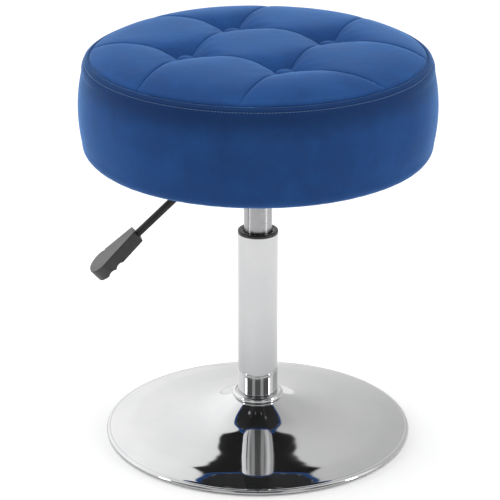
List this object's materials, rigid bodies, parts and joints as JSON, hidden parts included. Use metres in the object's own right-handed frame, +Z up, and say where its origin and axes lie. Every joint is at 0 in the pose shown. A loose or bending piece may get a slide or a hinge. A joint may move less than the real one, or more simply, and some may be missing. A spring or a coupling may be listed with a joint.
{
  "type": "vanity stool",
  "caption": "Round tufted velvet stool that turns and rises on a gas spring over a chrome trumpet base.",
  "frame": {"origin": "centre of the base on the floor, on the axis of the column", "axes": "+Z up along the column; the lever leaves the axis at 190 degrees from +X towards +Y"},
  "size_m": [0.4366, 0.4364, 0.5145],
  "materials": {
    "velvet": "royal blue velvet",
    "chrome": "polished",
    "satin_steel": "satin",
    "plain_steel": "bright zinc",
    "black_steel": "black powder coat",
    "black_plastic": "fine matte",
    "grip_plastic": "fine matte",
    "white_plastic": "plain",
    "black_rubber": "matte",
    "plywood": "raw plywood",
    "foam": "polyurethane foam",
    "black_cloth": "non-woven",
    "twine": "waxed twine"
  },
  "bodies": {
    "base": {"base_shell": "chrome", "base_bottom_plate": "plain_steel", "floor_ring": "black_rubber", "hub_socket": "plain_steel", "collar_ring": "chrome", "column_tube": "chrome", "column_end_plate": "plain_steel", "column_cap": "black_plastic", "guide_sleeve": "white_plastic", "bearing_lower_washer": "plain_steel"},
    "bearing_cage": {"ball_cage": "white_plastic", "thrust_balls": "plain_steel"},
    "spindle": {"bearing_upper_washer": "plain_steel", "rubber_bumper": "black_rubber", "piston_rod": "plain_steel", "rod_washer": "plain_steel", "retaining_clip": "plain_steel", "piston_head": "black_plastic", "piston_seal": "black_rubber"},
    "seat": {"pressure_tube": "satin_steel", "rod_guide": "black_plastic", "rod_seal": "black_rubber", "inner_cylinder": "plain_steel", "valve_body": "plain_steel", "taper_socket": "black_steel", "mechanism_housing": "black_steel", "mechanism_plate": "black_steel", "pivot_pin": "plain_steel", "mount_bolts": "plain_steel", "mount_washers": "plain_steel", "t_nuts": "plain_steel", "seat_board": "plywood", "foam_pad": "foam", "top_panel": "velvet", "side_band": "velvet", "dust_cover": "black_cloth", "cover_staples": "plain_steel", "tuft_buttons": "velvet", "tuft_twines": "twine", "twine_toggles": "white_plastic"},
    "lever": {"lever_rod": "black_steel", "lever_grip": "grip_plastic"},
    "release_pin": {"release_pin": "plain_steel"}
  },
  "joints": [
    {"name": "seat_swivel", "type": "hinge", "parent": "base", "child": "spindle", "pos_m": [0, 0, 0.0205], "axis": [0, 0, 1], "continuous": true},
    {"name": "cage_spin", "type": "hinge", "parent": "base", "child": "bearing_cage", "pos_m": [0, 0, 0.0185], "axis": [0, 0, 1], "continuous": true},
    {"name": "lift", "type": "slide", "parent": "spindle", "child": "seat", "axis": [0, 0, 1], "range_m": [0, 0.12]},
    {"name": "lever_tip", "type": "hinge", "parent": "seat", "child": "lever", "pos_m": [-0.02167, -0.00382, 0.356], "axis": [-0.1736, 0.9848, 0], "range_deg": [0, 8], "stiffness_Nm_per_rad": 1, "springref_deg": -5.73},
    {"name": "pin_press", "type": "slide", "parent": "seat", "child": "release_pin", "axis": [0, 0, -1], "range_m": [0, 0.0035]}
  ],
  "couplings": [
    {"joint": "cage_spin", "follows": "seat_swivel", "ratio": 0.5},
    {"joint": "pin_press", "follows": "lever_tip", "m_per_rad": 0.022}
  ]
}
